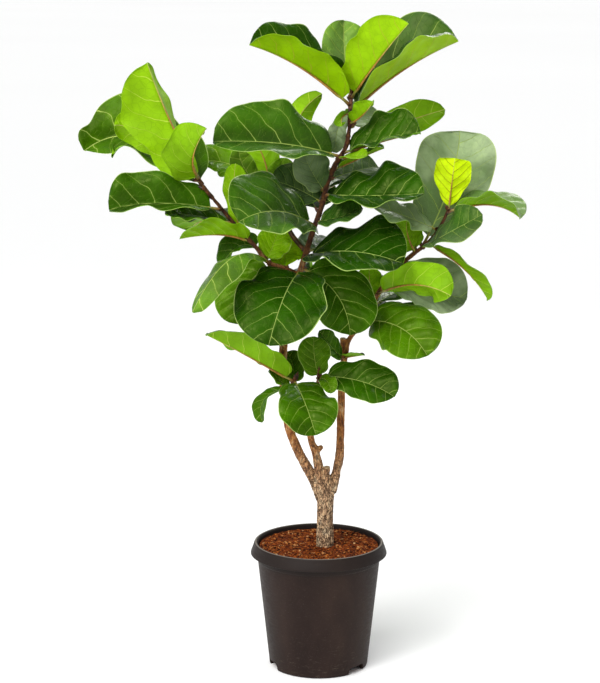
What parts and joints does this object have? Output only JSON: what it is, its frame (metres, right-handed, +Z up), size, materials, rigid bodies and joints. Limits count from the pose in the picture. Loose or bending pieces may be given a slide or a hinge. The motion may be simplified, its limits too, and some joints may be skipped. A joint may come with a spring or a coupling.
{
  "type": "potted fiddle leaf fig",
  "caption": "Fiddle leaf fig with bare forked stems and a crown of large leathery fiddle-shaped leaves, growing in soil in a round tapered nursery pot with drainage notches.",
  "frame": {"origin": "centre of the pot's base, on the surface it stands on", "axes": "+Z up along the pot's axis; the plant's front faces -Y, and the longer leafy branch reaches towards -X"},
  "size_m": [0.9858, 0.4698, 1.4492],
  "materials": {
    "pot_plastic": "injection moulded recycled polypropylene, satin, warm black-grey",
    "potting_mix": "loose moist coco and peat potting mix, red-brown, crumbly",
    "bark": "thin fissured tan bark with grey patches, dull",
    "leaf": "leathery dark green leaf, waxy satin upper side with pale veins, lighter matt underside",
    "young_leaf": "soft bright yellow-green young leaf, thin enough to glow against the light"
  },
  "bodies": {
    "root": {"pot": "pot_plastic", "soil": "potting_mix", "trunk": "bark", "top_leaf_1": "young_leaf", "top_leaf_2": "leaf", "top_leaf_3": "young_leaf", "top_shoot": "young_leaf", "leader_leaf_1": "leaf", "leader_leaf_2": "young_leaf", "leader_leaf_3": "leaf", "leader_leaf_4": "leaf", "leader_leaf_5": "leaf", "leader_leaf_6": "leaf", "leader_leaf_7": "leaf", "leader_leaf_8": "leaf", "leader_leaf_9": "leaf", "leader_leaf_10": "young_leaf", "leader_leaf_11": "leaf", "leader_leaf_12": "young_leaf", "leader_leaf_13": "leaf", "leader_leaf_14": "leaf", "leader_leaf_15": "leaf", "leader_leaf_16": "leaf", "inner_shoot": "young_leaf", "left_leaf_1": "young_leaf", "left_leaf_2": "leaf", "left_leaf_3": "young_leaf", "left_leaf_4": "leaf", "left_leaf_5": "young_leaf", "left_leaf_6": "young_leaf", "left_leaf_7": "young_leaf", "left_leaf_8": "young_leaf", "left_leaf_9": "young_leaf", "left_leaf_10": "young_leaf", "left_leaf_11": "leaf", "left_leaf_12": "leaf", "left_leaf_13": "leaf", "left_leaf_14": "leaf", "right_leaf_1": "leaf", "right_leaf_2": "young_leaf", "right_leaf_3": "young_leaf", "right_leaf_4": "leaf", "right_leaf_5": "young_leaf", "right_leaf_6": "leaf", "right_leaf_7": "young_leaf", "right_leaf_8": "leaf", "right_leaf_9": "young_leaf", "right_leaf_10": "leaf", "right_leaf_11": "young_leaf", "right_leaf_12": "leaf", "right_leaf_13": "leaf", "low_shoot": "leaf", "middle_shoot": "leaf", "back_leaf_1": "leaf", "back_leaf_2": "leaf", "back_leaf_3": "leaf", "back_leaf_4": "leaf", "back_leaf_5": "leaf", "back_leaf_6": "leaf", "back_leaf_7": "leaf"}
  },
  "joints": []
}
